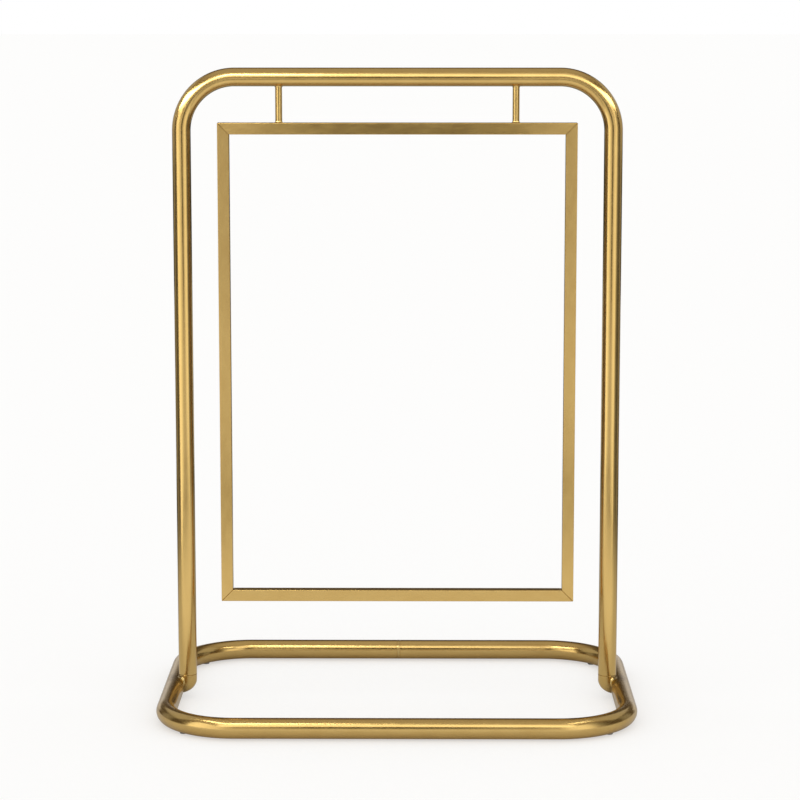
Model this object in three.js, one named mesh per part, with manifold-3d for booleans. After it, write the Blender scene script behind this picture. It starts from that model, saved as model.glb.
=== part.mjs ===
/**
 * Display easel: a free-standing metal holder for one upright A3 sign.
 *
 * A round tube bent into a tall hoop stands inside a flat ring of slightly thicker tube that
 * lies on the floor. Two short rods hang an open, mitred frame of square tube from the top of
 * the hoop. Every joint is welded, so nothing moves.
 *
 * Units are millimetres. +X is to the right, +Y points away from the viewer and +Z is up. The
 * origin is on the floor, under the middle of the easel.
 */
import * as THREE from 'three';
import { mergeVertices } from 'three/addons/utils/BufferGeometryUtils.js';
import Module from 'manifold-3d';

// ---- Driving dimensions --------------------------------------------------------------------

const GAP = 0.3; // clearance between neighbouring pieces

const PAD = { radius: 3, height: 3, standoff: 0.7 }; // standoff: floor to the tube's underside

const RING = { tube: 17.5, wall: 1.2, width: 413, depth: 292, bendRadius: 62 };

const HOOP = { tube: 16, wall: 1.2, width: 388, height: 555, bendRadius: 46, legEnd: 21.2 };

const FRAME = { bar: 10, wall: 1, width: 310, height: 420, underside: 88 };

const HANGER = { diameter: 6, spacing: 204 };

const BUTT_WELD = { length: 2.4 };

// The closed end of a leg: its inner side rounds under towards the ring in a quarter ellipse.
const LEG_PLUG = { roundReach: 16, roundDrop: 13, lowest: 3.4, spigot: 12, spigotRoot: 1 };

const LEG_WELD = { bead: 2.8, reach: THREE.MathUtils.degToRad(66), steps: 14 };

// A hanger weld is wide at its foot, narrows at its waist and ends in a thin tip on the rod.
const HANGER_WELD = { foot: 4.7, height: 2.4, waistAt: 0.4, waistWall: 0.55, tipWall: 0.25 };

const ROUND_SIDES = 16; // facets round a tube
const BEND_STEPS = 8; // steps along a quarter bend

// ---- Sizes that follow -----------------------------------------------------------------------

const ringAxis = {
  x: (RING.width - RING.tube) / 2,
  y: (RING.depth - RING.tube) / 2,
  z: PAD.standoff + RING.tube / 2,
};
const hoopAxis = {
  x: (HOOP.width - HOOP.tube) / 2,
  z: HOOP.height - HOOP.tube / 2,
};
const frameTop = FRAME.underside + FRAME.height;
const hoopUnderside = HOOP.height - HOOP.tube;

// ---- Materials -------------------------------------------------------------------------------

const tubeGold = new THREE.MeshStandardMaterial({ color: 0xc9a45a, metalness: 1, roughness: 0.28 });
const frameGold = new THREE.MeshStandardMaterial({ color: 0xc8a661, metalness: 1, roughness: 0.4 });
const weldGold = new THREE.MeshStandardMaterial({ color: 0xd8b56a, metalness: 1, roughness: 0.22 });
const padRubber = new THREE.MeshStandardMaterial({ color: 0x3a3835, metalness: 0, roughness: 0.8 });

// ---- Joining and cutting ---------------------------------------------------------------------

const wasm = await Module();
wasm.setup();

/** A closed three.js geometry as a solid that can be joined and cut. */
function solidOf(geometry) {
  const bare = geometry.clone();
  bare.deleteAttribute('normal');
  bare.deleteAttribute('uv');
  const merged = mergeVertices(bare);
  return new wasm.Manifold(new wasm.Mesh({
    numProp: 3,
    vertProperties: new Float32Array(merged.attributes.position.array),
    triVerts: new Uint32Array(merged.index.array),
  }));
}

/** A solid back as a three.js geometry. */
function geometryOf(solid) {
  const mesh = solid.getMesh();
  const geometry = new THREE.BufferGeometry();
  geometry.setAttribute('position', new THREE.BufferAttribute(mesh.vertProperties, 3));
  geometry.setIndex(new THREE.BufferAttribute(mesh.triVerts, 1));
  geometry.computeVertexNormals();
  return geometry;
}

// ---- Routes and sections ---------------------------------------------------------------------

/** A chain of stations: straight runs take one step each, and bends take several. */
class StationCurve extends THREE.Curve {
  constructor(stations) {
    super();
    this.stations = stations;
  }

  getPoint(t, target = new THREE.Vector3()) {
    const last = this.stations.length - 1;
    const index = Math.min(Math.floor(t * last), last - 1);
    return target.lerpVectors(this.stations[index], this.stations[index + 1], t * last - index);
  }

  // Steps fall on the stations themselves instead of at equal distances.
  getUtoTmapping(u) {
    return u;
  }
}

/** Stations along straight runs between points, with a round quarter bend at each inner one. */
function bentRoute(points, bendRadius) {
  const stations = [points[0]];
  for (let i = 1; i < points.length - 1; i += 1) {
    const corner = points[i];
    const arriving = corner.clone().sub(points[i - 1]).normalize();
    const leaving = points[i + 1].clone().sub(corner).normalize();
    for (let step = 0; step <= BEND_STEPS; step += 1) {
      const turn = (step / BEND_STEPS) * (Math.PI / 2);
      stations.push(corner.clone()
        .addScaledVector(arriving, bendRadius * (Math.sin(turn) - 1))
        .addScaledVector(leaving, bendRadius * (1 - Math.cos(turn))));
    }
  }
  stations.push(points[points.length - 1]);
  return stations;
}

function circlePoints(radius) {
  return Array.from({ length: ROUND_SIDES }, (_, i) => {
    const angle = (i / ROUND_SIDES) * Math.PI * 2;
    return new THREE.Vector2(radius * Math.cos(angle), radius * Math.sin(angle));
  });
}

/** A round bar swept along stations, or a tube where a bore radius is given. */
function sweep(stations, radius, bore = 0) {
  const section = new THREE.Shape(circlePoints(radius));
  if (bore > 0) section.holes.push(new THREE.Path(circlePoints(bore)));
  return new THREE.ExtrudeGeometry(section, {
    steps: stations.length - 1,
    extrudePath: new StationCurve(stations),
    bevelEnabled: false,
  });
}

/** A round bar between two heights. */
function uprightBar(radius, x, bottom, top) {
  return new THREE.CylinderGeometry(radius, radius, top - bottom, ROUND_SIDES * 2)
    .rotateX(Math.PI / 2)
    .translate(x, 0, (bottom + top) / 2);
}

/** An outline in X and Z, given thickness along Y about the easel's middle plane. */
function plateAcross(outline, thickness, curveSegments = 12) {
  return new THREE.ExtrudeGeometry(outline, { depth: thickness, bevelEnabled: false, curveSegments })
    .rotateX(Math.PI / 2)
    .translate(0, thickness / 2, 0);
}

// ---- Base ring -------------------------------------------------------------------------------

/** The ring's axis, from one side of its butt joint at the back round to the other side. */
function ringStations(jointHalfWidth) {
  const { x, y, z } = ringAxis;
  const corners = [[jointHalfWidth, y], [x, y], [x, -y], [-x, -y], [-x, y], [-jointHalfWidth, y]];
  return bentRoute(corners.map(([cx, cy]) => new THREE.Vector3(cx, cy, z)), RING.bendRadius);
}

const ringBore = RING.tube / 2 - RING.wall;

function baseRingTube() {
  return sweep(ringStations(BUTT_WELD.length / 2 + GAP), RING.tube / 2, ringBore);
}

/** The weld that closes the ring, ground flush with the tube. */
function baseRingButtWeld() {
  const half = BUTT_WELD.length / 2;
  const outer = RING.tube / 2;
  const profile = [[ringBore, -half], [outer, -half], [outer, half], [ringBore, half], [ringBore, -half]];
  return new THREE.LatheGeometry(profile.map(([r, h]) => new THREE.Vector2(r, h)), ROUND_SIDES)
    .rotateZ(Math.PI / 2)
    .translate(0, ringAxis.y, ringAxis.z);
}

/** The space that the ring and its clearance take up. */
const ringClearance = solidOf(sweep(ringStations(GAP), RING.tube / 2 + GAP));

/** A thin pad whose top is hollowed to fit the underside of a bend in the ring. */
function floorPad(sideX, sideY) {
  const bendReach = RING.bendRadius * (1 - Math.SQRT1_2);
  const pad = new THREE.CylinderGeometry(PAD.radius, PAD.radius, PAD.height, ROUND_SIDES * 2)
    .rotateX(Math.PI / 2)
    .translate(sideX * (ringAxis.x - bendReach), sideY * (ringAxis.y - bendReach), PAD.height / 2);
  return geometryOf(solidOf(pad).subtract(ringClearance));
}

// ---- Hoop ------------------------------------------------------------------------------------

function hoopTube() {
  const { x, z } = hoopAxis;
  const corners = [[-x, HOOP.legEnd], [-x, z], [x, z], [x, HOOP.legEnd]];
  const route = bentRoute(corners.map(([cx, cz]) => new THREE.Vector3(cx, 0, cz)), HOOP.bendRadius);
  return sweep(route, HOOP.tube / 2, HOOP.tube / 2 - HOOP.wall);
}

/** The solid end of a leg, hollowed to sit against the ring, with a spigot up inside the leg. */
function legEndPlug(side) {
  const legRadius = HOOP.tube / 2;
  const top = HOOP.legEnd - GAP;
  const roundTop = LEG_PLUG.lowest + LEG_PLUG.roundDrop;

  const outline = new THREE.Shape();
  outline.moveTo(side * (hoopAxis.x + legRadius), LEG_PLUG.lowest);
  outline.lineTo(side * (hoopAxis.x + legRadius), top);
  outline.lineTo(side * (hoopAxis.x - legRadius), top);
  outline.lineTo(side * (hoopAxis.x - legRadius), roundTop);
  const roundEnd = side > 0 ? Math.PI : 0;
  outline.absellipse(side * (hoopAxis.x + legRadius), roundTop, LEG_PLUG.roundReach,
    LEG_PLUG.roundDrop, roundEnd, -Math.PI / 2, side < 0);

  const body = solidOf(uprightBar(legRadius, side * hoopAxis.x, 0, top))
    .intersect(solidOf(plateAcross(outline, HOOP.tube + 2 * GAP)));
  const spigotRadius = legRadius - HOOP.wall - GAP;
  const spigot = uprightBar(spigotRadius, side * hoopAxis.x, top - LEG_PLUG.spigotRoot,
    top + LEG_PLUG.spigot);
  return geometryOf(body.add(solidOf(spigot)).subtract(ringClearance));
}

/** Stations where a leg's surface meets the top of the ring, from the front round to the back. */
function saddleStations(side) {
  const legRadius = HOOP.tube / 2;
  return Array.from({ length: LEG_WELD.steps + 1 }, (_, i) => {
    const turn = LEG_WELD.reach * (2 * (i / LEG_WELD.steps) - 1);
    const outward = hoopAxis.x + legRadius * Math.cos(turn);
    const height = Math.sqrt((RING.tube / 2) ** 2 - (outward - ringAxis.x) ** 2);
    return new THREE.Vector3(side * outward, legRadius * Math.sin(turn), ringAxis.z + height);
  });
}

/** The fillet of weld between a leg and the ring. */
function legWeld(side) {
  const aboveWeld = ringAxis.z + RING.tube / 2 + HOOP.tube;
  const legClearance = uprightBar(HOOP.tube / 2 + GAP, side * hoopAxis.x, 0, aboveWeld);
  const fillet = solidOf(sweep(saddleStations(side), LEG_WELD.bead))
    .subtract(ringClearance)
    .subtract(solidOf(legClearance));
  return geometryOf(fillet);
}

// ---- Hangers ---------------------------------------------------------------------------------

/** The space that the straight top of the hoop and its clearance take up. */
const hoopTopClearance = solidOf(new THREE.CylinderGeometry(
  HOOP.tube / 2 + GAP, HOOP.tube / 2 + GAP, 2 * (hoopAxis.x - HOOP.bendRadius), ROUND_SIDES * 2,
).rotateZ(Math.PI / 2).translate(0, 0, hoopAxis.z));

/** A rod from the frame's top bar to the hoop, its upper end hollowed to fit the tube. */
function hangerRod(side) {
  const rod = uprightBar(HANGER.diameter / 2, side * HANGER.spacing / 2, frameTop + GAP, hoopAxis.z);
  return geometryOf(solidOf(rod).subtract(hoopTopClearance));
}

/** A collar of weld round a rod; it spreads towards the piece that the rod is welded to. */
function weldCollar(spreadHeight, tipHeight) {
  const inner = HANGER.diameter / 2 + GAP;
  const waistHeight = THREE.MathUtils.lerp(spreadHeight, tipHeight, HANGER_WELD.waistAt);
  const profile = [
    [inner, spreadHeight],
    [HANGER_WELD.foot, spreadHeight],
    [inner + HANGER_WELD.waistWall, waistHeight],
    [inner + HANGER_WELD.tipWall, tipHeight],
    [inner, tipHeight],
    [inner, spreadHeight],
  ].map(([r, h]) => new THREE.Vector2(r, h));
  if (spreadHeight > tipHeight) profile.reverse();
  return new THREE.LatheGeometry(profile, ROUND_SIDES).rotateX(Math.PI / 2);
}

function hangerTopWeld(side) {
  const footRise = hoopAxis.z - hoopUnderside - Math.sqrt((HOOP.tube / 2) ** 2 - HANGER_WELD.foot ** 2);
  const collar = weldCollar(hoopUnderside + footRise, hoopUnderside - HANGER_WELD.height)
    .translate(side * HANGER.spacing / 2, 0, 0);
  return geometryOf(solidOf(collar).subtract(hoopTopClearance));
}

function hangerBottomWeld(side) {
  return weldCollar(frameTop + GAP, frameTop + HANGER_WELD.height)
    .translate(side * HANGER.spacing / 2, 0, 0);
}

// ---- Frame -----------------------------------------------------------------------------------

/**
 * One mitred bar, lying along X with its outer side at -Y of the outline. The bore is open at
 * both mitres.
 */
function mitredBar(length) {
  const half = length / 2;
  const seam = GAP / Math.SQRT2;
  const trapezium = (inset, thickness) => {
    const outer = half - inset - seam;
    const inner = half - (FRAME.bar - inset) - seam;
    const spread = inset > 0 ? FRAME.bar : 0; // a bore runs on past the mitres
    const outline = new THREE.Shape([
      new THREE.Vector2(-outer - spread, inset),
      new THREE.Vector2(outer + spread, inset),
      new THREE.Vector2(inner + spread, FRAME.bar - inset),
      new THREE.Vector2(-inner - spread, FRAME.bar - inset),
    ]);
    return solidOf(plateAcross(outline, thickness));
  };
  const bar = trapezium(0, FRAME.bar);
  const bore = trapezium(FRAME.wall, FRAME.bar - 2 * FRAME.wall);
  return geometryOf(bar.subtract(bore));
}

// ---- Assembly --------------------------------------------------------------------------------

const easel = new THREE.Group();

function addPiece(parent, name, geometry, material) {
  const mesh = new THREE.Mesh(geometry, material);
  mesh.name = name;
  parent.add(mesh);
  return mesh;
}

addPiece(easel, 'base_ring_tube', baseRingTube(), tubeGold);
addPiece(easel, 'base_ring_butt_weld', baseRingButtWeld(), weldGold);
addPiece(easel, 'hoop_tube', hoopTube(), tubeGold);

for (const [sideName, side] of [['left', -1], ['right', 1]]) {
  addPiece(easel, `${sideName}_leg_end_plug`, legEndPlug(side), tubeGold);
  addPiece(easel, `${sideName}_leg_weld`, legWeld(side), weldGold);
  addPiece(easel, `${sideName}_hanger_rod`, hangerRod(side), tubeGold);
  addPiece(easel, `${sideName}_hanger_top_weld`, hangerTopWeld(side), weldGold);
  addPiece(easel, `${sideName}_hanger_bottom_weld`, hangerBottomWeld(side), weldGold);
  addPiece(easel, `front_${sideName}_floor_pad`, floorPad(side, -1), padRubber);
  addPiece(easel, `back_${sideName}_floor_pad`, floorPad(side, 1), padRubber);
}

// The frame hangs in the hoop's plane; each bar's outer side faces away from its middle.
const frame = new THREE.Group();
frame.position.z = FRAME.underside + FRAME.height / 2;
easel.add(frame);

for (const [name, length, reach, turn] of [
  ['frame_bottom_bar', FRAME.width, FRAME.height, 0],
  ['frame_left_bar', FRAME.height, FRAME.width, Math.PI / 2],
  ['frame_top_bar', FRAME.width, FRAME.height, Math.PI],
  ['frame_right_bar', FRAME.height, FRAME.width, -Math.PI / 2],
]) {
  const bar = addPiece(frame, name, mitredBar(length).translate(0, 0, -reach / 2), frameGold);
  bar.rotation.y = turn;
}

export default easel;
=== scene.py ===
"""The looks of the display easel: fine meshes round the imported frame, gold finishes, studio.

Every length is in metres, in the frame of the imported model: +X right, +Y away from the viewer,
+Z up, with the floor at z = 0.
"""
import math

import bpy
from mathutils import Matrix, Vector


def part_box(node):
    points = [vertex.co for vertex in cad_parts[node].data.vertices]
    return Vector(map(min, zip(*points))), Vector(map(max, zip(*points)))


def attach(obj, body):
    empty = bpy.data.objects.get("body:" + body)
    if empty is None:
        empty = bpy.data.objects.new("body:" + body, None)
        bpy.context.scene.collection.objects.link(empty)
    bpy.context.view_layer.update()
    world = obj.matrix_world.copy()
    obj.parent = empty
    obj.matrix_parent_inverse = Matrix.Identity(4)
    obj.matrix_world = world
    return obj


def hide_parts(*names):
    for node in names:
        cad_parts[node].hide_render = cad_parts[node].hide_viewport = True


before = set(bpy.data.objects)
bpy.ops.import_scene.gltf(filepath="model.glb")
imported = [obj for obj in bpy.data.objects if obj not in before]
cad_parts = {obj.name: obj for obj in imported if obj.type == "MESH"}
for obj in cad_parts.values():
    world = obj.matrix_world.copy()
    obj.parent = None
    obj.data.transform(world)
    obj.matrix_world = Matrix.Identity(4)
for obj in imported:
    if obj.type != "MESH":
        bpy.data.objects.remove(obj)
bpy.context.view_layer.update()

MM = 0.001

# ---- Sizes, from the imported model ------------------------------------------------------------

hoop_low, hoop_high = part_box("hoop_tube")
ring_low, ring_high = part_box("base_ring_tube")
weld_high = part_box("base_ring_butt_weld")[1]
frame_low, frame_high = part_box("frame_left_bar")
rod_low, rod_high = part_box("right_hanger_rod")
plug_low, plug_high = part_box("right_leg_end_plug")

RING_RADIUS = (ring_high.z - ring_low.z) / 2
RING_X = ring_high.x - RING_RADIUS
RING_Y = ring_high.y - RING_RADIUS
RING_Z = ring_high.z - RING_RADIUS
RING_BEND = 62 * MM

HOOP_RADIUS = (hoop_high.y - hoop_low.y) / 2
HOOP_X = hoop_high.x - HOOP_RADIUS
HOOP_Z = hoop_high.z - HOOP_RADIUS
HOOP_BEND = 46 * MM
LEG_END_Z = hoop_low.z
PLUG_ROUND = Vector((16 * MM, 13 * MM))  # reach and drop of the rounded leg end

TUBE_WALL = 1.2 * MM
TUBE_RIM = 0.25 * MM  # softening of a cut tube's edges
RING_BORE = 6 * MM  # how deep the open ends of the ring's tube go
HOOP_BORE = 13 * MM
SPIGOT_PLAY = 0.3 * MM  # between a leg end's spigot and the bore that it fills

BAR = frame_high.y - frame_low.y
BAR_CORNER = 0.40 * MM  # rounding of a bar's long edges
BAR_SUPPORT = 0.12 * MM  # from that rounding to the line that keeps the faces flat
POINT_GAP = 0.2 * MM  # about how far a packed bar's mitre points stop short of the corners
MITRE_EASE = 0.24 * MM
FRAME_HALF_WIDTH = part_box("frame_right_bar")[1].x
FRAME_BOTTOM = frame_low.z - POINT_GAP
FRAME_TOP = frame_high.z + POINT_GAP

ROD_RADIUS = (rod_high.y - rod_low.y) / 2
ROD_X = (rod_low.x + rod_high.x) / 2
HOOP_FLARE = (0.8 * MM, 1.0 * MM)  # spread and rise of the weld at a rod's top
FRAME_FLARE = (1.0 * MM, 1.5 * MM)  # and at its bottom

SEAM = 0.06 * MM  # what shows of the fit between two pieces that are welded and dressed
TOUCH = 0.02 * MM  # clearance that keeps touching surfaces from sharing the same place
SHADE_SPREAD = 3.0 * MM  # how far the painted shade, a darker and duller metal, reaches up a leg end
RING_SHADE_SPREAD = 8.0 * MM  # how far the painted shade reaches along the ring
SHADE_REACH = 24 * MM  # the stretch of the ring, each way from a leg, with closer rows to carry the painted shade
SHADE_STEP = 0.75 * MM

BEAD_HALF_TURN = math.radians(72)  # how far round a leg the bead goes, each way
BEAD_CLIMB = 6.5 * MM  # how far its ends climb the leg
BEAD_THICK = 1.3 * MM
NUGGET_THICK = 0.8 * MM  # what a nugget adds
NUGGETS = ((0.90, 1.0), (0.72, 0.9))  # place along half a bead, and size
NUGGET_LENGTH = 0.07

AROUND = 96  # facets round a tube
ROD_AROUND = 64  # facets round a rod or a floor pad
BEND_STEPS = 56  # steps along a quarter bend


# ---- Materials -------------------------------------------------------------------------------

GOLD = (0.80, 0.540, 0.180, 1.0)
DEEP_GOLD = (0.74, 0.482, 0.150, 1.0)
WELD_GOLD = (0.84, 0.60, 0.22, 1.0)
# painted shade: the dark brown that stands in for shadow beside the leg welds
SHADE_BROWN = (0.11, 0.065, 0.022, 1.0)
PAD_DARK = (0.12, 0.112, 0.10, 1.0)
PAD_PALE = (0.18, 0.168, 0.15, 1.0)
EDGE_GAIN = 1.12  # how much brighter a rubbed edge is

# Texture scales per metre: twice across the metal, then along it.
SCRATCH_SCALE = (2600.0, 2600.0, 70.0)
FINE_SCALE = (6500.0, 6500.0, 900.0)
CLOUD_SCALE = (160.0, 160.0, 55.0)
SPECKLE_SCALE = 3000.0


class Nodes:
    """A short way to add and link a material's nodes."""

    def __init__(self, tree):
        self.tree = tree

    def add(self, kind, inputs=None, **settings):
        """A new node. Each input takes another node's output or a plain value."""
        node = self.tree.nodes.new(kind)
        for key, value in settings.items():
            setattr(node, key, value)
        for key, value in (inputs or {}).items():
            if isinstance(value, bpy.types.NodeSocket):
                self.tree.links.new(value, node.inputs[key])
            else:
                node.inputs[key].default_value = value
        return node

    def math(self, operation, a, b):
        return self.add("ShaderNodeMath", {0: a, 1: b}, operation=operation).outputs[0]

    def remap(self, value, low, high, to_low, to_high, smooth=False):
        kind = "SMOOTHSTEP" if smooth else "LINEAR"
        node = self.add("ShaderNodeMapRange", {
            "Value": value, "From Min": low, "From Max": high, "To Min": to_low, "To Max": to_high,
        }, interpolation_type=kind)
        return node.outputs["Result"]

    def mix(self, factor, a, b):
        return self.add("ShaderNodeMix", {0: factor, 6: a, 7: b}, data_type="RGBA").outputs[2]

    def blend(self, a, share, b):
        """share of a and the rest of b."""
        return self.math("ADD", self.math("MULTIPLY", a, share), self.math("MULTIPLY", b, 1.0 - share))

    def attribute(self, name, output="Fac"):
        return self.add("ShaderNodeAttribute", attribute_name=name).outputs[output]

    def noise(self, vector, scale, detail=2.0, roughness=0.5):
        node = self.add("ShaderNodeTexNoise", {
            "Vector": vector, "Scale": scale, "Detail": detail, "Roughness": roughness,
        })
        return node.outputs["Fac"]

    def stretched(self, vector, scale):
        node = self.add("ShaderNodeMapping", {"Vector": vector, "Scale": scale})
        return node.outputs["Vector"]


def new_material(name):
    material = bpy.data.materials.new(name)
    material.use_nodes = True
    nodes = Nodes(material.node_tree)
    return material, nodes, material.node_tree.nodes["Principled BSDF"]


def gold(name, tint, deep, rough_low, rough_high, grain_height, brushed=0.0):
    """A satin gold metal: fine scratches along the piece, soft clouding, bright edges, and painted shade,
    darker and duller, beside the leg welds.
    """
    material, nodes, shader = new_material(name)
    grain = nodes.attribute("grain", "Vector")
    polish = nodes.attribute("polish")
    painted_shade = nodes.attribute("painted_shade")

    scratches = nodes.noise(nodes.stretched(grain, SCRATCH_SCALE), 1.0, 3.0, 0.6)
    fine = nodes.noise(nodes.stretched(grain, FINE_SCALE), 1.0, 1.0)
    clouds = nodes.noise(nodes.stretched(grain, CLOUD_SCALE), 1.0, 3.0, 0.55)

    shade = nodes.blend(clouds, 0.6, scratches)
    colour = nodes.mix(nodes.remap(shade, 0.35, 0.65, 0.0, 1.0), deep, tint)
    worn = tuple(min(1.0, channel * EDGE_GAIN) for channel in tint[:3]) + (1.0,)
    colour = nodes.mix(nodes.math("MULTIPLY", polish, 0.6), colour, worn)
    # painted shade: darker metal beside the leg welds, standing in for shadow there
    colour = nodes.mix(nodes.math("MULTIPLY", painted_shade, 0.6), colour, SHADE_BROWN)
    nodes.tree.links.new(colour, shader.inputs["Base Color"])

    grit = nodes.blend(scratches, 0.6, clouds)
    rough = nodes.remap(grit, 0.32, 0.68, rough_low, rough_high)
    rough = nodes.math("SUBTRACT", rough, nodes.math("MULTIPLY", polish, 0.05))
    rough = nodes.math("ADD", rough, nodes.math("MULTIPLY", painted_shade, 0.12))
    nodes.tree.links.new(rough, shader.inputs["Roughness"])

    height = nodes.blend(scratches, 0.7, fine)
    bump = nodes.add("ShaderNodeBump", {"Height": height, "Strength": 0.35, "Distance": grain_height})
    nodes.tree.links.new(bump.outputs["Normal"], shader.inputs["Normal"])
    shader.inputs["Metallic"].default_value = 1.0
    shader.inputs["Coat Weight"].default_value = 0.4
    shader.inputs["Coat Roughness"].default_value = 0.12
    if brushed:
        nodes.tree.links.new(nodes.attribute("run", "Vector"), shader.inputs["Tangent"])
        shader.inputs["Anisotropic"].default_value = brushed
        shader.inputs["Anisotropic Rotation"].default_value = 0.25
    return material


def rubber(name):
    """A dark matt rubber with a fine speckle."""
    material, nodes, shader = new_material(name)
    speckle = nodes.noise(nodes.attribute("grain", "Vector"), SPECKLE_SCALE, 3.0)
    nodes.tree.links.new(nodes.mix(speckle, PAD_DARK, PAD_PALE), shader.inputs["Base Color"])
    rough = nodes.remap(speckle, 0.3, 0.7, 0.65, 0.85)
    nodes.tree.links.new(rough, shader.inputs["Roughness"])
    bump = nodes.add("ShaderNodeBump", {"Height": speckle, "Strength": 0.3, "Distance": 0.1 * MM})
    nodes.tree.links.new(bump.outputs["Normal"], shader.inputs["Normal"])
    return material


tube_gold = gold("satin_gold_tube", GOLD, DEEP_GOLD, 0.17, 0.25, 0.008 * MM)
frame_gold = gold("brushed_gold_frame", GOLD, DEEP_GOLD, 0.20, 0.27, 0.008 * MM, brushed=0.45)
weld_gold = gold("gold_weld", WELD_GOLD, GOLD, 0.14, 0.22, 0.01 * MM)
pad_rubber = rubber("floor_pad")


# ---- Mesh building ---------------------------------------------------------------------------

class Surface:
    """Points, faces and the attributes that the finishes read.

    grain holds a place in the piece's own unbent space, its Z along the run of the metal.
    polish is 1 on edges that handling and dressing have brightened.
    run, on brushed bars, is the direction of the brushing.
    A function of place gives painted shade: 1 beside a leg's weld, where the metal is made darker and
    duller.
    """

    def __init__(self):
        self.points, self.faces, self.grain, self.polish = [], [], [], []
        self.run = None
        self.painted_shade = None

    def point(self, place, grain=None, polish=0.0):
        self.points.append(Vector(place))
        self.grain.append(Vector(place if grain is None else grain))
        self.polish.append(polish)
        return len(self.points) - 1

    def skin(self, rows, closed=False):
        """Quads between rows of point numbers; each row closes on itself."""
        pairs = list(zip(rows, rows[1:]))
        if closed:
            pairs.append((rows[-1], rows[0]))
        for lower, upper in pairs:
            count = len(lower)
            for j in range(count):
                k = (j + 1) % count
                self.faces.append((lower[j], lower[k], upper[k], upper[j]))

    def lid(self, row, flip=False):
        self.faces.append(tuple(reversed(row)) if flip else tuple(row))

    def piece(self, name, material, node, slot, flat_lids=True):
        mesh = bpy.data.meshes.new(name)
        mesh.from_pydata(self.points, [], self.faces)
        grain = mesh.attributes.new("grain", "FLOAT_VECTOR", "POINT")
        grain.data.foreach_set("vector", [c for place in self.grain for c in place])
        polish = mesh.attributes.new("polish", "FLOAT", "POINT")
        polish.data.foreach_set("value", self.polish)
        if self.run:
            run = mesh.attributes.new("run", "FLOAT_VECTOR", "POINT")
            run.data.foreach_set("vector", list(self.run) * len(self.points))
        if self.painted_shade:
            painted_shade = mesh.attributes.new("painted_shade", "FLOAT", "POINT")
            painted_shade.data.foreach_set("value", [self.painted_shade(place) for place in self.points])
        mesh.polygons.foreach_set("use_smooth", [not (flat_lids and len(f) > 4) for f in self.faces])
        mesh.materials.append(material)
        mesh.validate()
        mesh.update()
        made = bpy.data.objects.new(name, mesh)
        bpy.context.scene.collection.objects.link(made)
        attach(made, "root")
        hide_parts(node)
        return made


def crisp(made, degrees=32.0):
    """Keeps corners sharper than this angle, and shades the rest smooth."""
    made.data.set_sharp_from_angle(angle=math.radians(degrees))


def bent_route(corners, bend):
    """(place, direction) pairs along straight runs with a round quarter bend at inner corners."""
    route = [(corners[0], (corners[1] - corners[0]).normalized())]
    for before, corner, after in zip(corners, corners[1:], corners[2:]):
        arriving, leaving = (corner - before).normalized(), (after - corner).normalized()
        for step in range(BEND_STEPS + 1):
            turn = step / BEND_STEPS * math.pi / 2
            place = corner + arriving * bend * (math.sin(turn) - 1) + leaving * bend * (1 - math.cos(turn))
            route.append((place, arriving * math.cos(turn) + leaving * math.sin(turn)))
    route.append((corners[-1], (corners[-1] - corners[-2]).normalized()))
    return route


def tube_row(surface, place, direction, normal, radius, along, polish=0.0):
    """One ring of points round a tube whose axis lies in the plane with this normal."""
    side = direction.cross(normal)
    row = []
    for j in range(AROUND):
        angle = j / AROUND * math.tau
        out = side * math.cos(angle) + normal * math.sin(angle)
        spot = Vector((radius * math.cos(angle), radius * math.sin(angle), along))
        row.append(surface.point(place + out * radius, spot, polish))
    return row


def tube(route, normal, radius, bore_depth):
    """A bent tube with softened rims, and bores that run a short way in from both ends."""
    surface = Surface()
    bore = radius - TUBE_WALL
    rim_steps = [(bore, bore_depth), (bore, TUBE_RIM), (bore + TUBE_RIM, 0.0),
                 (radius - TUBE_RIM, 0.0), (radius, TUBE_RIM)]

    def end_rows(place, inward, sign, along):
        """Rows from the bottom of the bore out over the rim; direction keeps the run's sense."""
        direction = inward * sign
        rows = []
        for size, depth in rim_steps:
            edge = 1.0 if size > bore + TUBE_RIM else 0.0
            rows.append(tube_row(surface, place + inward * depth, direction, normal, size,
                                 along + sign * depth, edge))
        return rows

    along = 0.0
    rows = end_rows(route[0][0], route[0][1], 1.0, along)
    surface.lid(rows[0], flip=True)
    previous = route[0][0]
    for place, direction in route[1:-1]:
        along += (place - previous).length
        rows.append(tube_row(surface, place, direction, normal, radius, along))
        previous = place
    along += (route[-1][0] - previous).length
    last = end_rows(route[-1][0], -route[-1][1], -1.0, along)
    rows += last[::-1]
    surface.skin(rows)
    surface.lid(rows[-1])
    return surface


# ---- Base ring -------------------------------------------------------------------------------

def beside_leg(place):
    """Painted shade on the ring: strongest where a leg meets it, gone two of its spreads away."""
    gap = abs(math.hypot(abs(place.x) - HOOP_X, place.y) - HOOP_RADIUS)
    return math.exp(-(gap / RING_SHADE_SPREAD) ** 2)


def with_stations(route, reach, spacing):
    """The route with extra places on its runs along Y, within reach of the legs at y = 0."""
    fuller = [route[0]]
    for (before, _), (place, direction) in zip(route, route[1:]):
        if abs(direction.y) > 0.999 and (place - before).length > reach:
            count = round(2 * reach / spacing)
            for i in range(count + 1):
                y = (spacing * i - reach) * direction.y
                fuller.append((Vector((place.x, y, place.z)), direction))
        fuller.append((place, direction))
    return fuller


def base_ring():
    joint = weld_high.x + SEAM
    corners = [(joint, RING_Y), (RING_X, RING_Y), (RING_X, -RING_Y), (-RING_X, -RING_Y),
               (-RING_X, RING_Y), (-joint, RING_Y)]
    route = bent_route([Vector((x, y, RING_Z)) for x, y in corners], RING_BEND)
    route = with_stations(route, SHADE_REACH, SHADE_STEP)
    surface = tube(route, Vector((0, 0, 1)), RING_RADIUS, RING_BORE)
    # painted shade on the ring beside each leg
    surface.painted_shade = beside_leg
    made = surface.piece("base_ring", tube_gold, "base_ring_tube", "satin_gold_tube")
    crisp(made)


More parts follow.
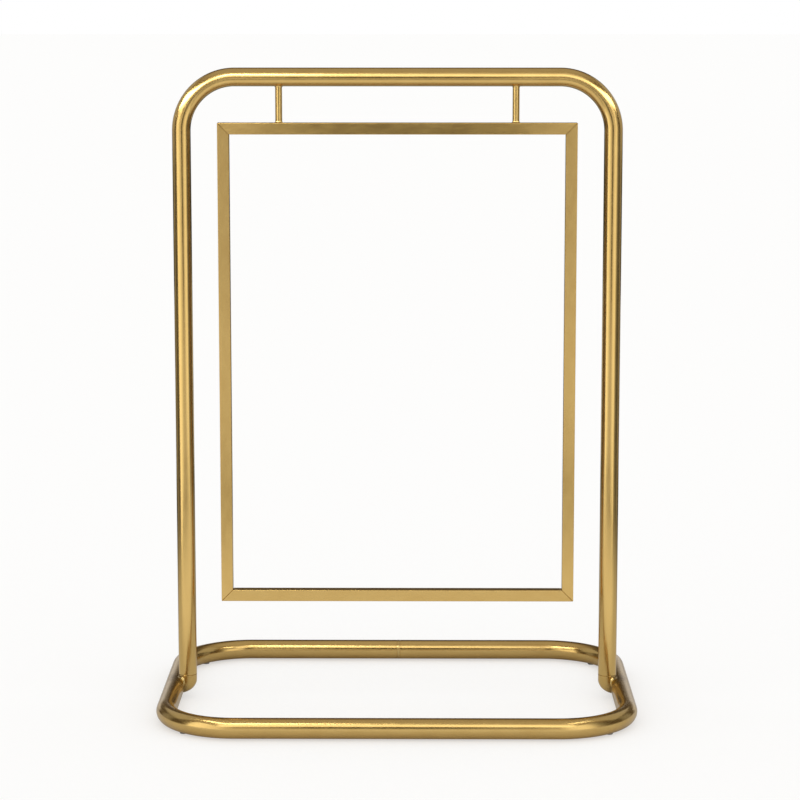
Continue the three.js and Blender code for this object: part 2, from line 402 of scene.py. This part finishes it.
def butt_weld():
    """The dressed weld at the back: flush, with the faint crown that a flap wheel leaves."""
    surface = Surface()
    half = weld_high.x
    bore = RING_RADIUS - TUBE_WALL
    edge = RING_RADIUS - TOUCH
    crown = 0.05 * MM
    crown_steps = 8
    profile = [(bore, -half), (edge, -half)]
    for i in range(1, crown_steps):
        t = i / crown_steps
        profile.append((RING_RADIUS + crown * math.sin(t * math.pi), half * (2 * t - 1)))
    profile += [(edge, half), (bore, half)]
    rows = []
    for radius, x in profile:
        place = Vector((x, RING_Y, RING_Z))
        rows.append(tube_row(surface, place, Vector((1, 0, 0)), Vector((0, 0, 1)), radius, x * 0.05))
    surface.skin(rows, closed=True)
    made = surface.piece("base_ring_weld_band", weld_gold, "base_ring_butt_weld", "gold_weld")
    crisp(made, 50.0)


# ---- Hoop and leg ends -----------------------------------------------------------------------

def hoop():
    corners = [(-HOOP_X, LEG_END_Z), (-HOOP_X, HOOP_Z), (HOOP_X, HOOP_Z), (HOOP_X, LEG_END_Z)]
    route = bent_route([Vector((x, 0, z)) for x, z in corners], HOOP_BEND)
    surface = tube(route, Vector((0, -1, 0)), HOOP_RADIUS, HOOP_BORE)
    made = surface.piece("hoop", tube_gold, "hoop_tube", "satin_gold_tube")
    crisp(made)


def ring_gap(place):
    """How far a place near a side of the ring is from the ring's surface."""
    return math.hypot(abs(place.x) - RING_X, place.z - RING_Z) - RING_RADIUS


def leg_end(side, name):
    """A leg's closed end: it turns under in a tight rounded elbow and stops at the ring."""
    surface = Surface()
    pivot = Vector((side * (HOOP_X + HOOP_RADIUS), 0, plug_low.z + PLUG_ROUND.y))
    squeeze = PLUG_ROUND.y / PLUG_ROUND.x
    top = LEG_END_Z - SEAM
    straight = top - pivot.z
    turn_length = HOOP_RADIUS * math.pi / 2

    def place_at(angle, travel):
        """A point on the leg's skin after a travel down from the seam and round the elbow."""
        inward = HOOP_RADIUS * (1 + math.cos(angle))
        across = HOOP_RADIUS * math.sin(angle)
        if travel <= straight:
            return Vector((pivot.x - side * inward, across, top - travel))
        turn = min((travel - straight) / turn_length, 1.0) * math.pi / 2
        return Vector((pivot.x - side * inward * math.cos(turn), across,
                       pivot.z - inward * squeeze * math.sin(turn)))

    def reach(angle):
        """The travel at which this line of the skin meets the ring."""
        step = 0.1 * MM
        travel = 0.0
        while travel < straight + turn_length and ring_gap(place_at(angle, travel)) > TOUCH:
            travel += step
        return travel

    lengths = [reach(j / AROUND * math.tau) for j in range(AROUND)]
    steps = 40
    spigot = HOOP_RADIUS - TUBE_WALL - SPIGOT_PLAY
    centre = Vector((side * HOOP_X, 0, 0))

    def level_row(radius, z, polish=0.0):
        row = []
        for j in range(AROUND):
            angle = j / AROUND * math.tau
            out = Vector((-side * math.cos(angle), math.sin(angle), 0)) * radius
            row.append(surface.point(centre + out + Vector((0, 0, z)), None, polish))
        return row

    rows = [level_row(spigot - TUBE_RIM, plug_high.z), level_row(spigot, plug_high.z - TUBE_RIM),
            level_row(spigot, top), level_row(HOOP_RADIUS - TUBE_RIM, top, 1.0)]
    for i in range(steps + 1):
        row = []
        for j, length in enumerate(lengths):
            angle = j / AROUND * math.tau
            travel = TUBE_RIM + (length - TUBE_RIM) * i / steps
            spot = Vector((HOOP_RADIUS * math.cos(angle), HOOP_RADIUS * math.sin(angle), travel))
            row.append(surface.point(place_at(angle, travel), spot, 1.0 if i == 0 else 0.0))
        rows.append(row)
    surface.skin(rows)
    surface.lid(rows[0], flip=True)
    surface.lid(rows[-1])
    if side < 0:
        surface.faces = [tuple(reversed(face)) for face in surface.faces]
    # painted shade on the leg end, strongest where it meets the ring
    surface.painted_shade = lambda place: math.exp(-(max(ring_gap(place), 0.0) / SHADE_SPREAD) ** 2)
    made = surface.piece(name, tube_gold, name.replace("_end", "_end_plug"), "satin_gold_tube")
    crisp(made, 40.0)


def leg_bead(side, name):
    """Weld where a leg meets the ring: thin over the ring's top, two nuggets at each end."""
    surface = Surface()
    steps, count = 160, 28
    rows = []
    for i in range(steps + 1):
        t = 2 * i / steps - 1
        turn = BEAD_HALF_TURN * t
        outward = HOOP_X + HOOP_RADIUS * math.cos(turn)
        saddle = math.sqrt(max(RING_RADIUS ** 2 - (outward - RING_X) ** 2, 0.0))
        climb = BEAD_CLIMB * t ** 2
        place = Vector((side * outward, HOOP_RADIUS * math.sin(turn), RING_Z + saddle + climb / 2))
        ahead = Vector((-side * math.sin(turn), math.cos(turn), -0.4 * math.sin(turn))).normalized()
        from_leg = Vector((side * math.cos(turn), math.sin(turn), 0.0))
        up = ahead.cross(from_leg).normalized()
        from_leg = up.cross(ahead).normalized()
        ends = math.sqrt(max(1 - t ** 8, 0.0))
        nuggets = sum(size * math.exp(-((abs(t) - at) / NUGGET_LENGTH) ** 2) for at, size in NUGGETS)
        ripple = 1 + 0.06 * math.sin(turn * 30)
        thick = max(ends * (BEAD_THICK + NUGGET_THICK * nuggets) * ripple, 0.01 * MM)
        tall = thick + ends * climb / 2
        row = []
        for j in range(count):
            angle = j / count * math.tau
            out = from_leg * math.cos(angle) * thick + up * math.sin(angle) * tall
            spot = Vector((math.cos(angle), math.sin(angle), 4.0 * t)) * 2 * MM
            row.append(surface.point(place + out, spot, 0.5))
        rows.append(row)
    surface.skin(rows)
    surface.lid(rows[0], flip=True)
    surface.lid(rows[-1])
    surface.piece(name, weld_gold, name.replace("_bead", "_weld"), "gold_weld", flat_lids=False)


# ---- Hangers ---------------------------------------------------------------------------------

def hoop_underside(y):
    """Height of the underside of the hoop's top run at this y."""
    return HOOP_Z - math.sqrt(HOOP_RADIUS ** 2 - y ** 2)


def upright_rows(surface, x, profile):
    """Rows round an upright axis at x; profile gives (radius, height as a function of y)."""
    rows = []
    for radius, height in profile:
        row = []
        for j in range(ROD_AROUND):
            angle = j / ROD_AROUND * math.tau
            y = radius * math.sin(angle)
            row.append(surface.point(Vector((x + radius * math.cos(angle), y, height(y)))))
        rows.append(row)
    return rows


def hanger_rod(side, name):
    """A plain rod, flat on the frame and hollowed at its top to fit the hoop."""
    surface = Surface()
    levels = [lambda y: FRAME_TOP, lambda y: FRAME_TOP + 2 * MM, lambda y: hoop_underside(0) - 2 * MM,
              lambda y: hoop_underside(y) - TOUCH]
    rows = upright_rows(surface, side * ROD_X, [(ROD_RADIUS, level) for level in levels])
    surface.skin(rows)
    surface.lid(rows[0], flip=True)
    surface.lid(rows[-1])
    made = surface.piece(name, tube_gold, name, "satin_gold_tube")
    crisp(made)


def flare(side, name, node, base, direction, spread, rise):
    """A smooth fillet of weld round a rod: wide at its base, thinning to nothing on the rod."""
    surface = Surface()
    steps = 10
    foot = 0.05 * MM
    inside = ROD_RADIUS * 0.8
    outline = [(inside, base)]
    for i in range(steps + 1):
        t = i / steps * math.pi / 2
        radius = ROD_RADIUS + TOUCH + spread * (1 - math.sin(t))
        lift = foot + rise * (1 - math.cos(t))
        outline.append((radius, lambda y, lift=lift: base(y) + direction * lift))
    outline.append((inside, lambda y: base(y) + direction * (rise + foot)))
    rows = upright_rows(surface, side * ROD_X, outline)
    surface.skin(rows, closed=True)
    if direction < 0:
        surface.faces = [tuple(reversed(face)) for face in surface.faces]
    made = surface.piece(name, weld_gold, node, "gold_weld")
    crisp(made, 50.0)


# ---- Frame -----------------------------------------------------------------------------------

def bar_section():
    """Points round a square tube: (depth along Y, distance in from the outer side, polish).

    The two points beside each rounded edge keep the shading of the faces flat.
    """
    steps = 6
    out = BAR / 2 - BAR_CORNER
    near, far = BAR_CORNER, BAR - BAR_CORNER
    section = []
    for quarter, (centre_y, centre_v) in enumerate(((out, far), (-out, far), (-out, near), (out, near))):
        start = quarter * math.pi / 2
        before = Vector((math.sin(start), -math.cos(start))) * BAR_SUPPORT
        after = Vector((-math.cos(start), -math.sin(start))) * BAR_SUPPORT
        arc = []
        for i in range(steps + 1):
            angle = start + i / steps * math.pi / 2
            y = centre_y + BAR_CORNER * math.cos(angle)
            v = centre_v + BAR_CORNER * math.sin(angle)
            arc.append((y, v, math.sin(i / steps * math.pi)))
        section.append((arc[0][0] + before.x, arc[0][1] + before.y, 0.0))
        section += arc
        section.append((arc[-1][0] + after.x, arc[-1][1] + after.y, 0.0))
    return section


def frame_bar(name, length, to_world):
    """A mitred bar along X, its outer side at v = 0, with eased mitre edges."""
    surface = Surface()
    section = bar_section()
    middle = BAR / 2
    full = MITRE_EASE * 1.4  # how far back from a mitre the bar has its whole section
    end = [(MITRE_EASE, 0.0), (0.0, full), (0.0, full + 4 * MM)]
    stations = [(-1, inset, back) for inset, back in end]
    stations += [(1, inset, back) for inset, back in reversed(end)]
    rows = []
    for sign, inset, back in stations:
        shrink = 1 - inset / middle
        row = []
        for y, v, edge in section:
            v = middle + (v - middle) * shrink
            x = sign * (length / 2 - v - SEAM - back)
            spot = Vector((y, v, x))
            row.append(surface.point(to_world @ Vector((x, y * shrink, v)), spot, edge))
        rows.append(row)
    surface.skin(rows)
    surface.lid(rows[0], flip=True)
    surface.lid(rows[-1])
    surface.run = to_world.to_3x3() @ Vector((1, 0, 0))
    made = surface.piece(name, frame_gold, name, "brushed_gold_frame")
    crisp(made, 25.0)


def frame_bars():
    height = FRAME_TOP - FRAME_BOTTOM
    width = FRAME_HALF_WIDTH * 2
    middle = Vector((0, 0, (FRAME_TOP + FRAME_BOTTOM) / 2))
    for name, length, reach, turn in (("frame_bottom_bar", width, height, 0.0),
                                      ("frame_left_bar", height, width, 0.5),
                                      ("frame_top_bar", width, height, 1.0),
                                      ("frame_right_bar", height, width, -0.5)):
        to_world = (Matrix.Translation(middle) @ Matrix.Rotation(turn * math.pi, 4, "Y")
                    @ Matrix.Translation(Vector((0, 0, -reach / 2))))
        frame_bar(name, length, to_world)


# ---- Floor pads ------------------------------------------------------------------------------

def ring_centre_distance(x, y):
    """Distance in plan from a place near a corner of the ring to the tube's middle line."""
    dx = abs(x) - (RING_X - RING_BEND)
    dy = abs(y) - (RING_Y - RING_BEND)
    return abs(math.hypot(dx, dy) - RING_BEND)


def floor_pad(name):
    """A small moulded pad, its top pressed to the shape of the tube above."""
    low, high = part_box(name)
    centre = (low + high) / 2
    radius = (high.x - low.x) / 2
    ease = 0.25 * MM
    surface = Surface()

    def seat(x, y):
        """Height of the tube's underside over a place on the floor."""
        offset = ring_centre_distance(x, y)
        return RING_Z - math.sqrt((RING_RADIUS + TOUCH) ** 2 - offset ** 2)

    profile = [(radius - ease, lambda x, y: 0.0), (radius, lambda x, y: ease)]
    profile += [(radius * share, seat) for share in (1.0, 0.66, 0.33, 0.05)]
    rows = []
    for size, height in profile:
        row = []
        for j in range(ROD_AROUND):
            angle = j / ROD_AROUND * math.tau
            x, y = centre.x + size * math.cos(angle), centre.y + size * math.sin(angle)
            row.append(surface.point(Vector((x, y, height(x, y)))))
        rows.append(row)
    surface.skin(rows)
    surface.lid(rows[0], flip=True)
    surface.lid(rows[-1])
    made = surface.piece(name + "_moulding", pad_rubber, name, "floor_pad")
    crisp(made)


# ---- Studio ----------------------------------------------------------------------------------

WARM_DARK = (1.0, 0.76, 0.50, 1.0)
WARM_GREY = (1.0, 0.90, 0.75, 1.0)
WARM_WHITE = (1.0, 0.97, 0.92, 1.0)
PANEL_WHITE = (1.0, 1.0, 1.0, 1.0)
SKY_WHITE = (0.95, 0.96, 1.0, 1.0)
FLOOR_WHITE = (0.45, 0.447, 0.44, 1.0)
FLOOR_GLOW = (1.0, 0.999, 0.997, 1.0)
SECOND_MIRROR = 0.35  # what is left of a card's light where gold is mirrored in gold


def only_in_reflections(made):
    """Leaves an object visible to glossy rays alone."""
    for kind in ("camera", "diffuse", "transmission", "volume_scatter", "shadow"):
        setattr(made, f"visible_{kind}", False)


def card(name, corners, strength, fade=None, colour=PANEL_WHITE):
    """A lit studio card that shows only in the metal. fade is (axis, from, to, strength there)."""
    mesh = bpy.data.meshes.new(name)
    mesh.from_pydata([Vector(c) for c in corners], [], [(0, 1, 2, 3)])
    made = bpy.data.objects.new(name, mesh)
    bpy.context.scene.collection.objects.link(made)
    material = bpy.data.materials.new(name)
    material.use_nodes = True
    nodes = Nodes(material.node_tree)
    nodes.tree.nodes.clear()
    glow = nodes.add("ShaderNodeEmission", {"Color": colour})
    if fade:
        axis, start, end, end_strength = fade
        place = nodes.add("ShaderNodeTexCoord").outputs["Object"]
        along = nodes.add("ShaderNodeSeparateXYZ", {"Vector": place}).outputs["XYZ".index(axis)]
        strength = nodes.remap(along, start, end, strength, end_strength, smooth=True)
    bounces = nodes.add("ShaderNodeLightPath").outputs["Glossy Depth"]
    kept = nodes.remap(bounces, 1.0, 2.0, 1.0, SECOND_MIRROR)
    nodes.tree.links.new(nodes.math("MULTIPLY", kept, strength), glow.inputs["Strength"])
    output = nodes.add("ShaderNodeOutputMaterial")
    nodes.tree.links.new(glow.outputs[0], output.inputs["Surface"])
    mesh.materials.append(material)
    only_in_reflections(made)


def wall(name, near, far, low, high, strength, fade=None, colour=PANEL_WHITE):
    """An upright card between two places on the floor plan."""
    corners = [(*near, low), (*far, low), (*far, high), (*near, high)]
    card(name, corners, strength, fade, colour)


def tilted(name, left, right, near, far, strength, fade=None):
    """A card over the camera's line of sight; near and far are its lower and upper (y, z)."""
    card(name, [(left, *near), (right, *near), (right, *far), (left, *far)], strength, fade)


def studio_cards():
    """A light tent: walls at both sides that close in towards the front, and a high front panel."""
    wall("left_card", (-0.75, -0.32), (-0.64, -0.90), 0.0, 0.70, 1.32, ("Y", -0.45, -0.90, 1.10))
    wall("left_wing", (-0.64, -0.90), (-0.18, -1.15), 0.0, 0.53, 1.05, ("X", -0.60, -0.36, 0.68))
    wall("right_card", (0.70, -0.28), (0.60, -0.90), 0.0, 0.70, 0.18, ("Y", -0.30, -0.66, 1.10))
    wall("right_wing", (0.60, -0.90), (0.17, -1.15), 0.0, 0.53, 1.05, ("X", 0.50, 0.25, 0.70))
    wall("low_front_card", (-0.18, -1.15), (0.17, -1.15), 0.0, 0.22, 0.65)
    wall("camera_card", (-0.18, -1.15), (0.17, -1.15), 0.22, 0.70, 0.04, colour=WARM_GREY)
    wall("left_hot_card", (-0.46, -0.06), (-0.295, -0.475), 0.605, 0.725, 7.0)
    wall("right_hot_card", (0.445, -0.06), (0.31, -0.40), 0.605, 0.705, 4.5)
    wall("back_left_card", (-1.0, 0.10), (-0.95, 0.50), 0.0, 0.45, 0.25)
    wall("back_right_card", (1.0, 0.10), (0.95, 0.50), 0.0, 0.45, 0.25)
    wall("high_left_card", (-1.0, -0.05), (-0.60, 0.90), 0.45, 1.30, 0.42)
    wall("high_right_card", (1.0, -0.05), (0.60, 0.90), 0.45, 1.30, 0.42)
    wall("low_left_card", (-0.24, 1.0), (-1.0, 1.0), 0.0, 0.24, 0.62, colour=SKY_WHITE)
    wall("low_right_card", (0.24, 1.0), (1.0, 1.0), 0.0, 0.24, 0.62, colour=SKY_WHITE)
    tilted("top_card", -0.75, 0.75, (-1.28, 0.70), (-0.80, 1.65), 1.60, ("Z", 1.12, 1.36, 0.70))
    tilted("top_hot_card", -0.30, -0.05, (-0.55, 0.80), (-0.50, 0.92), 8.0, ("X", -0.14, -0.06, 1.6))


def world_light():
    """Even light for the floor; in the metal, a dim warm room with a paler ceiling."""
    world = bpy.data.worlds.new("studio")
    bpy.context.scene.world = world
    world.use_nodes = True
    nodes = Nodes(world.node_tree)
    nodes.tree.nodes.clear()
    direction = nodes.add("ShaderNodeTexCoord").outputs["Generated"]
    axes = nodes.add("ShaderNodeSeparateXYZ", {"Vector": direction})
    above = nodes.remap(axes.outputs["Z"], 0.55, 0.95, 0.0, 1.0, smooth=True)
    bounce = nodes.add("ShaderNodeLightPath").outputs["Is Glossy Ray"]
    tint = nodes.mix(above, WARM_DARK, WARM_WHITE)
    room = nodes.remap(above, 0.0, 1.0, 0.07, 0.44)
    even = nodes.add("ShaderNodeBackground", {"Color": PANEL_WHITE, "Strength": 1.0})
    seen = nodes.add("ShaderNodeBackground", {"Color": tint, "Strength": room})
    mixed = nodes.add("ShaderNodeMixShader", {0: bounce, 1: even.outputs[0], 2: seen.outputs[0]})
    output = nodes.add("ShaderNodeOutputWorld")
    nodes.tree.links.new(mixed.outputs[0], output.inputs["Surface"])


def floor():
    """A white floor. Its own glow keeps the easel's shadow light; the metal sees it greyer."""
    mesh = bpy.data.meshes.new("floor")
    half = 60.0
    corners = [(-half, -half, 0), (half, -half, 0), (half, half, 0), (-half, half, 0)]
    mesh.from_pydata(corners, [], [(0, 1, 2, 3)])
    made = bpy.data.objects.new("floor", mesh)
    bpy.context.scene.collection.objects.link(made)
    material = bpy.data.materials.new("pale_floor")
    material.use_nodes = True
    nodes = Nodes(material.node_tree)
    nodes.tree.nodes.clear()
    place = nodes.add("ShaderNodeTexCoord").outputs["Object"]
    depth = nodes.add("ShaderNodeSeparateXYZ", {"Vector": place}).outputs["Y"]
    # What the metal sees of the floor is painted shade: grey, lightest well in front, darker under and
    # behind the easel, nearly black far off.
    front = nodes.remap(depth, -0.34, -0.04, 0.80, 0.50, smooth=True)
    dim = nodes.remap(depth, 0.10, 0.35, 1.0, 0.6, smooth=True)
    pool = nodes.add("ShaderNodeVectorMath", {0: place}, operation="LENGTH").outputs["Value"]
    far = nodes.remap(pool, 0.55, 1.15, 1.0, 0.12, smooth=True)
    grey = nodes.math("MULTIPLY", nodes.math("MULTIPLY", front, dim), far)
    bounce = nodes.add("ShaderNodeLightPath").outputs["Is Glossy Ray"]
    seen_grey = nodes.add("ShaderNodeCombineColor", {0: grey, 1: grey, 2: grey}).outputs[0]
    seen = nodes.add("ShaderNodeBsdfDiffuse", {"Color": seen_grey})
    bright = nodes.add("ShaderNodeBsdfDiffuse", {"Color": FLOOR_WHITE})
    glow = nodes.add("ShaderNodeEmission", {"Color": FLOOR_GLOW, "Strength": 0.535})
    both = nodes.add("ShaderNodeAddShader", {0: bright.outputs[0], 1: glow.outputs[0]})
    mixed = nodes.add("ShaderNodeMixShader", {0: bounce, 1: both.outputs[0], 2: seen.outputs[0]})
    output = nodes.add("ShaderNodeOutputMaterial")
    nodes.tree.links.new(mixed.outputs[0], output.inputs["Surface"])
    mesh.materials.append(material)
    made.visible_shadow = False


LENS = 118.0  # in the lens's own millimetres
CAMERA_PITCH = math.radians(8.5)
CAMERA_TURN = math.radians(0.4)
CAMERA_DISTANCE = 2.291
CAMERA_AIM = Vector((0.0023, 0.0, 0.2668))


def camera():
    """A long lens, a little above the easel and looking down at its middle."""
    data = bpy.data.cameras.new("camera")
    data.lens = LENS
    data.sensor_width = 36.0
    data.clip_end = 200.0
    made = bpy.data.objects.new("camera", data)
    bpy.context.scene.collection.objects.link(made)
    bpy.context.scene.camera = made
    level = math.cos(CAMERA_PITCH)
    back = Vector((math.sin(CAMERA_TURN) * level, -math.cos(CAMERA_TURN) * level, math.sin(CAMERA_PITCH)))
    made.location = CAMERA_AIM + back * CAMERA_DISTANCE
    made.rotation_euler = (math.pi / 2 - CAMERA_PITCH, 0.0, CAMERA_TURN)


# ---- Assembly --------------------------------------------------------------------------------

camera()
world_light()
studio_cards()
floor()
bpy.context.scene.view_settings.view_transform = "Standard"

base_ring()
butt_weld()
hoop()
for side, word in ((-1, "left"), (1, "right")):
    leg_end(side, f"{word}_leg_end")
    leg_bead(side, f"{word}_leg_bead")
    hanger_rod(side, f"{word}_hanger_rod")
    flare(side, f"{word}_hanger_top_fillet", f"{word}_hanger_top_weld",
          hoop_underside, -1, *HOOP_FLARE)
    flare(side, f"{word}_hanger_bottom_fillet", f"{word}_hanger_bottom_weld",
          lambda y: FRAME_TOP, 1, *FRAME_FLARE)
    floor_pad(f"front_{word}_floor_pad")
    floor_pad(f"back_{word}_floor_pad")
frame_bars()
